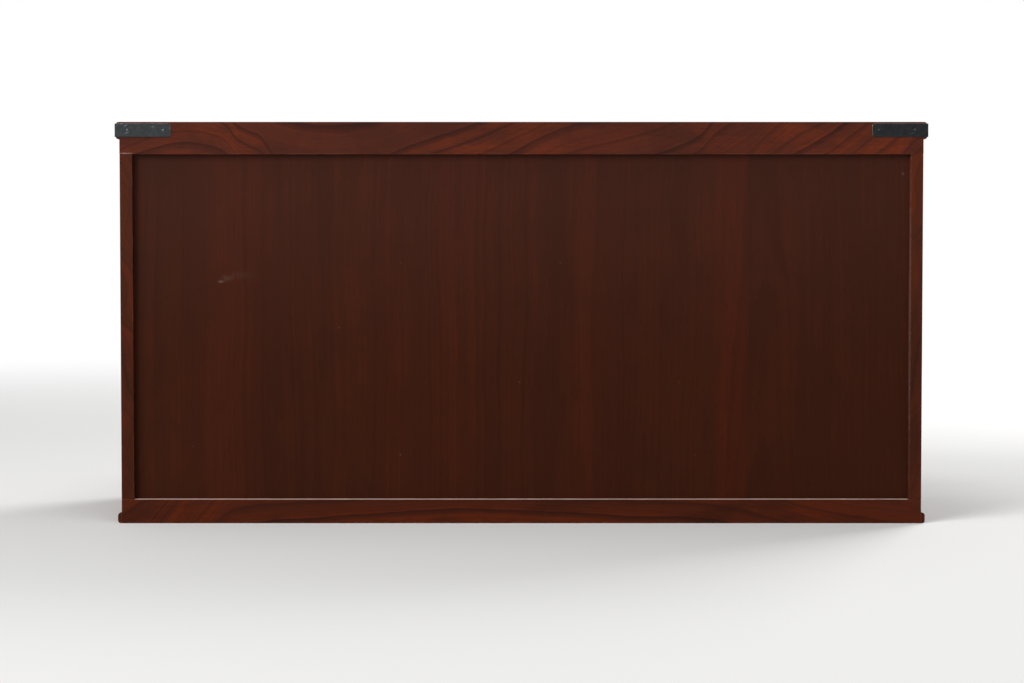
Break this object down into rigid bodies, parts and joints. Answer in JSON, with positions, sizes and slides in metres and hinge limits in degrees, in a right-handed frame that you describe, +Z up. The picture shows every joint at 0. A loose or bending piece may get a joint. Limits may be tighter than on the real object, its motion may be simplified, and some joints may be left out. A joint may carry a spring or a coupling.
{
  "type": "tansu chest",
  "caption": "Low, wide joined chest of drawers with lacquered boards, a framed back panel, black iron corner plates and swinging bail handles.",
  "frame": {"origin": "on the floor under the middle of the top board's footprint, on the underside of the middle skid", "axes": "+X along the chest's width, +Y towards its framed back, +Z up; the drawers open towards -Y"},
  "size_m": [1.2152, 0.4361, 0.6],
  "materials": {
    "lacquered_rails": "red-brown wiped lacquer over bold open grain, satin",
    "lacquered_boards": "red-brown wiped lacquer over bold open grain, satin",
    "lacquered_back_panel": "dark red-brown stain over fine straight grain, satin",
    "lacquered_drawer_fronts": "red-brown wiped lacquer over bold open grain, satin",
    "bare_paulownia": "bare planed wood, matte",
    "black_iron": "blackened wrought iron, lightly hammered"
  },
  "bodies": {
    "case": {"top_board": "lacquered_boards", "side_panel_left": "lacquered_boards", "side_panel_right": "lacquered_boards", "bottom_board": "bare_paulownia", "back_top_rail": "lacquered_rails", "back_bottom_rail": "lacquered_rails", "back_stile_left": "lacquered_rails", "back_stile_right": "lacquered_rails", "back_panel": "lacquered_back_panel", "front_top_rail": "lacquered_rails", "front_upper_rail": "lacquered_rails", "front_lower_rail": "lacquered_rails", "front_bottom_rail": "lacquered_rails", "divider_left": "lacquered_rails", "divider_right": "lacquered_rails", "dust_board_upper": "bare_paulownia", "dust_board_lower": "bare_paulownia", "base_moulding_left": "lacquered_rails", "base_moulding_right": "lacquered_rails", "base_moulding_front": "lacquered_rails", "base_skids": "bare_paulownia", "corner_iron_back_left": "black_iron", "corner_iron_back_right": "black_iron", "corner_iron_front_left": "black_iron", "corner_iron_front_right": "black_iron", "corner_nails": "black_iron", "drawer_stops": "bare_paulownia"},
    "drawer_top_left": {"drawer_top_left_front": "lacquered_drawer_fronts", "drawer_top_left_sides": "bare_paulownia", "drawer_top_left_back": "bare_paulownia", "drawer_top_left_bottom": "bare_paulownia", "drawer_top_left_irons": "black_iron"},
    "bail_top_left": {"bail_top_left": "black_iron"},
    "drawer_top_middle": {"drawer_top_middle_front": "lacquered_drawer_fronts", "drawer_top_middle_sides": "bare_paulownia", "drawer_top_middle_back": "bare_paulownia", "drawer_top_middle_bottom": "bare_paulownia", "drawer_top_middle_irons": "black_iron"},
    "bail_top_middle": {"bail_top_middle": "black_iron"},
    "drawer_top_right": {"drawer_top_right_front": "lacquered_drawer_fronts", "drawer_top_right_sides": "bare_paulownia", "drawer_top_right_back": "bare_paulownia", "drawer_top_right_bottom": "bare_paulownia", "drawer_top_right_irons": "black_iron"},
    "bail_top_right": {"bail_top_right": "black_iron"},
    "drawer_middle": {"drawer_middle_front": "lacquered_drawer_fronts", "drawer_middle_sides": "bare_paulownia", "drawer_middle_back": "bare_paulownia", "drawer_middle_bottom": "bare_paulownia", "drawer_middle_irons": "black_iron"},
    "bail_middle_left": {"bail_middle_left": "black_iron"},
    "bail_middle_right": {"bail_middle_right": "black_iron"},
    "drawer_lower": {"drawer_lower_front": "lacquered_drawer_fronts", "drawer_lower_sides": "bare_paulownia", "drawer_lower_back": "bare_paulownia", "drawer_lower_bottom": "bare_paulownia", "drawer_lower_irons": "black_iron"},
    "bail_lower_left": {"bail_lower_left": "black_iron"},
    "bail_lower_right": {"bail_lower_right": "black_iron"}
  },
  "joints": [
    {"name": "drawer_top_left_slide", "type": "slide", "parent": "case", "child": "drawer_top_left", "axis": [0, -1, 0], "range_m": [0, 0.3]},
    {"name": "bail_top_left_swing", "type": "hinge", "parent": "drawer_top_left", "child": "bail_top_left", "pos_m": [-0.39267, -0.2145, 0.507], "axis": [-1, 0, 0], "range_deg": [0, 90]},
    {"name": "drawer_top_middle_slide", "type": "slide", "parent": "case", "child": "drawer_top_middle", "axis": [0, -1, 0], "range_m": [0, 0.3]},
    {"name": "bail_top_middle_swing", "type": "hinge", "parent": "drawer_top_middle", "child": "bail_top_middle", "pos_m": [0, -0.2145, 0.507], "axis": [-1, 0, 0], "range_deg": [0, 90]},
    {"name": "drawer_top_right_slide", "type": "slide", "parent": "case", "child": "drawer_top_right", "axis": [0, -1, 0], "range_m": [0, 0.3]},
    {"name": "bail_top_right_swing", "type": "hinge", "parent": "drawer_top_right", "child": "bail_top_right", "pos_m": [0.39267, -0.2145, 0.507], "axis": [-1, 0, 0], "range_deg": [0, 90]},
    {"name": "drawer_middle_slide", "type": "slide", "parent": "case", "child": "drawer_middle", "axis": [0, -1, 0], "range_m": [0, 0.3]},
    {"name": "bail_middle_left_swing", "type": "hinge", "parent": "drawer_middle", "child": "bail_middle_left", "pos_m": [-0.3, -0.2145, 0.339], "axis": [-1, 0, 0], "range_deg": [0, 90]},
    {"name": "bail_middle_right_swing", "type": "hinge", "parent": "drawer_middle", "child": "bail_middle_right", "pos_m": [0.3, -0.2145, 0.339], "axis": [-1, 0, 0], "range_deg": [0, 90]},
    {"name": "drawer_lower_slide", "type": "slide", "parent": "case", "child": "drawer_lower", "axis": [0, -1, 0], "range_m": [0, 0.3]},
    {"name": "bail_lower_left_swing", "type": "hinge", "parent": "drawer_lower", "child": "bail_lower_left", "pos_m": [-0.3, -0.2145, 0.141], "axis": [-1, 0, 0], "range_deg": [0, 90]},
    {"name": "bail_lower_right_swing", "type": "hinge", "parent": "drawer_lower", "child": "bail_lower_right", "pos_m": [0.3, -0.2145, 0.141], "axis": [-1, 0, 0], "range_deg": [0, 90]}
  ]
}
